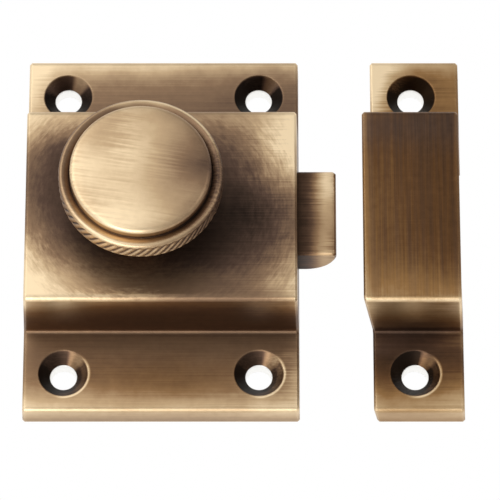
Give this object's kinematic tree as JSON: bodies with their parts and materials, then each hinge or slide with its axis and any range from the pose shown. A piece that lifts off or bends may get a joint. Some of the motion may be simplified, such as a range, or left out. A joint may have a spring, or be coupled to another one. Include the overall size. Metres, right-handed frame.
{
  "type": "cupboard catch latch",
  "caption": "Surface cupboard latch with a knurled turn knob that draws back a spring bolt, and its matching bridge keep, in aged satin brass.",
  "frame": {"origin": "centre of the case's screw pattern on the back face", "axes": "+Z out of the front face, +X from the case towards the keep, +Y along the flanges' spacing"},
  "size_m": [0.0702, 0.062, 0.0284],
  "materials": {
    "aged_brass": "satin",
    "bolt_brass": "satin",
    "plain_steel": "satin",
    "spring_steel": "satin"
  },
  "bodies": {
    "case": {"case": "aged_brass", "back_plate": "plain_steel", "back_plate_screws": "plain_steel", "bolt_spring": "spring_steel", "keep": "aged_brass"},
    "knob": {"knob": "aged_brass", "knob_grub_screw": "plain_steel", "spindle": "plain_steel", "spindle_washer": "plain_steel", "crank": "plain_steel", "crank_pin": "plain_steel"},
    "bolt": {"bolt": "bolt_brass"}
  },
  "joints": [
    {"name": "knob_turn", "type": "hinge", "parent": "case", "child": "knob", "pos_m": [-0.003, 0, 0], "axis": [0, 0, 1], "range_deg": [0, 60], "stiffness_Nm_per_rad": 0.0392, "springref_deg": -42.86},
    {"name": "bolt_slide", "type": "slide", "parent": "case", "child": "bolt", "axis": [-1, 0, 0], "range_m": [0, 0.0056], "deforming": ["bolt_spring"]}
  ],
  "couplings": [
    {"joint": "knob_turn", "follows": "bolt_slide", "rad_per_m": 187}
  ]
}
